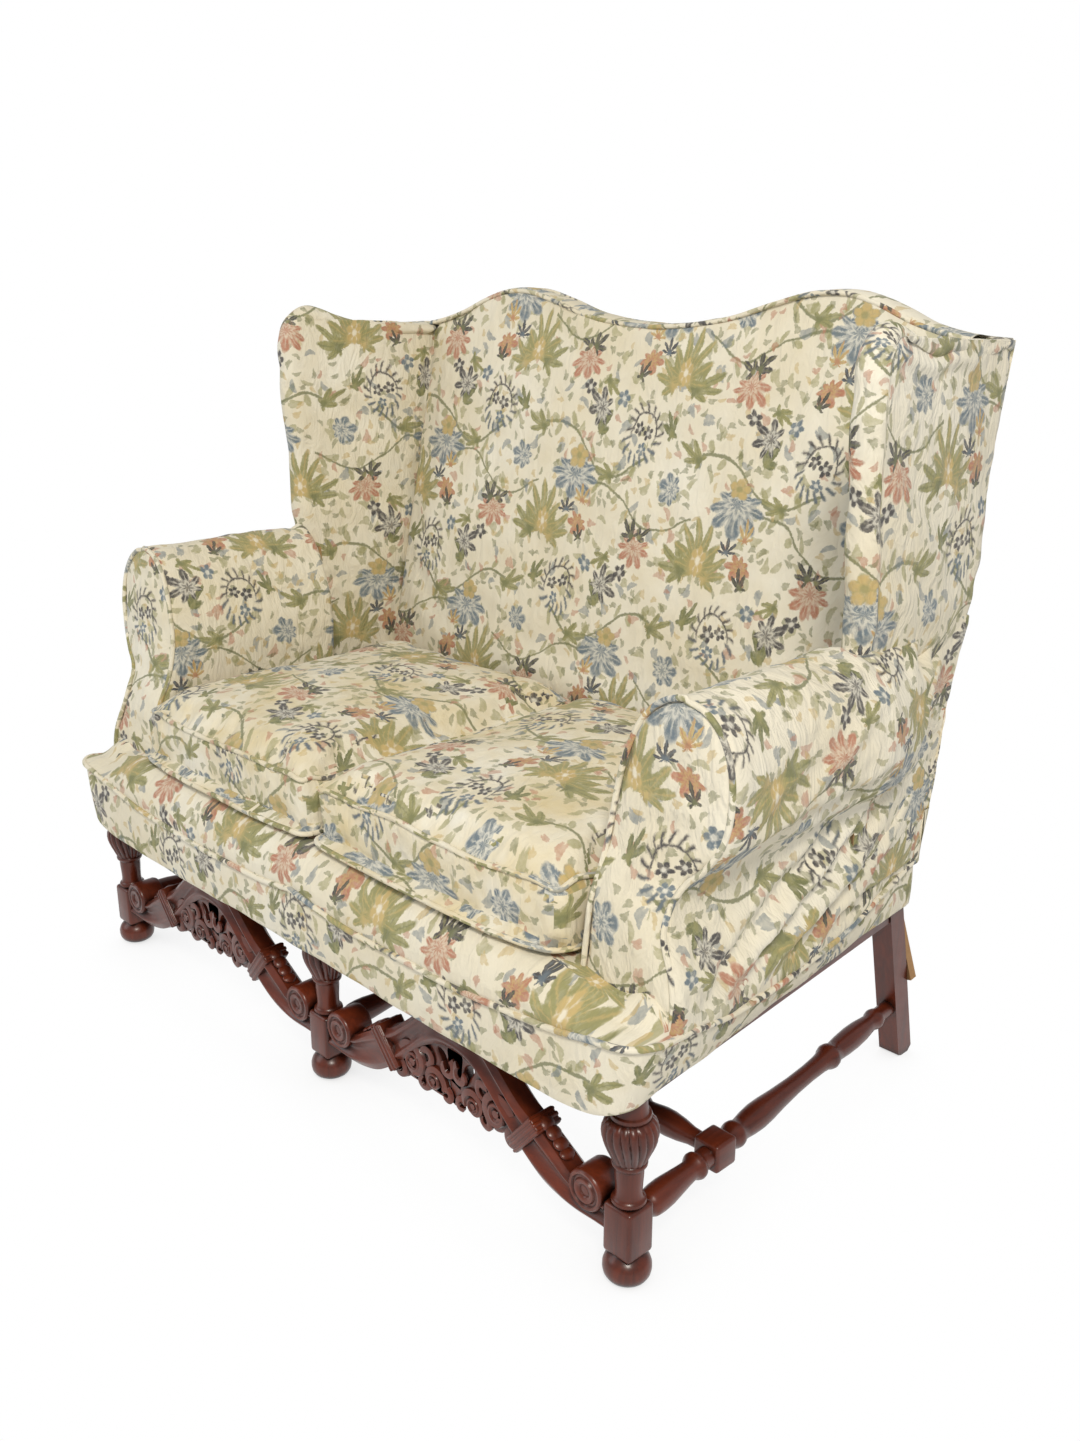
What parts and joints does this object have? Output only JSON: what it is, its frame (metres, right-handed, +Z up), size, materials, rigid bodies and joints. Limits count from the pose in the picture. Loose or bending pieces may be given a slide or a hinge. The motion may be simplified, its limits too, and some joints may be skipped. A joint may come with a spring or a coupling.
{
  "type": "settee",
  "caption": "High back seat for sitting side by side, with wings, rolled arms, loose box cushions, a patterned loose cover, turned legs and pierced carved stretchers.",
  "frame": {"origin": "middle of the plan, on the floor under the feet", "axes": "+X along the seat to the right arm, +Y from the front to the back, +Z up"},
  "size_m": [1.3426, 0.7988, 1.124],
  "materials": {
    "polished_wood": "dark red brown polish, satin",
    "plain_wood": "unpolished pale board",
    "frame_wood": "plain sawn hardwood",
    "steel": "plain",
    "webbing": "woven tape",
    "lining": "plain cloth",
    "foam": "soft core",
    "cover_fabric": "woven floral pattern on cream"
  },
  "bodies": {
    "settee": {"arm_board_left": "frame_wood", "arm_board_right": "frame_wood", "arm_rail_left": "frame_wood", "arm_rail_right": "frame_wood", "arm_stuffing_left": "cover_fabric", "arm_stuffing_right": "cover_fabric", "back_brace_left": "plain_wood", "back_brace_right": "plain_wood", "back_lower_rail_left": "frame_wood", "back_lower_rail_right": "frame_wood", "back_post_left": "polished_wood", "back_post_middle": "polished_wood", "back_post_right": "polished_wood", "back_stuffing": "cover_fabric", "back_top_rail": "frame_wood", "back_webbing": "webbing", "bottom_cloth": "lining", "bun_foot_left": "polished_wood", "bun_foot_middle": "polished_wood", "bun_foot_right": "polished_wood", "carved_stretcher_left": "polished_wood", "carved_stretcher_right": "polished_wood", "corner_block_left": "frame_wood", "corner_block_right": "frame_wood", "corner_screws": "steel", "cover_band_back": "cover_fabric", "cover_band_front": "cover_fabric", "cover_band_left": "cover_fabric", "cover_band_right": "cover_fabric", "cover_outside_back": "cover_fabric", "cross_stretcher_left": "polished_wood", "cross_stretcher_right": "polished_wood", "front_leg_left": "polished_wood", "front_leg_middle": "polished_wood", "front_leg_right": "polished_wood", "seat_canvas": "lining", "seat_rail_back_left": "frame_wood", "seat_rail_back_right": "frame_wood", "seat_rail_front_left": "frame_wood", "seat_rail_front_right": "frame_wood", "seat_rail_middle": "frame_wood", "seat_rail_side_left": "frame_wood", "seat_rail_side_right": "frame_wood", "seat_stuffing": "cover_fabric", "seat_webbing": "webbing", "side_stretcher_left": "polished_wood", "side_stretcher_middle": "polished_wood", "side_stretcher_right": "polished_wood", "side_stuffing_left": "cover_fabric", "side_stuffing_right": "cover_fabric", "wing_post_left": "frame_wood", "wing_post_right": "frame_wood", "wing_rail_left": "frame_wood", "wing_rail_right": "frame_wood", "wing_stuffing_left": "cover_fabric", "wing_stuffing_right": "cover_fabric"},
    "cushion_left": {"cushion_cover_left": "cover_fabric", "cushion_fill_left": "foam"},
    "cushion_right": {"cushion_cover_right": "cover_fabric", "cushion_fill_right": "foam"}
  },
  "joints": [
    {"name": "lift_cushion_left", "type": "slide", "parent": "settee", "child": "cushion_left", "axis": [0, 0, 1], "range_m": [0, 0.35]},
    {"name": "lift_cushion_right", "type": "slide", "parent": "settee", "child": "cushion_right", "axis": [0, 0, 1], "range_m": [0, 0.35]}
  ]
}
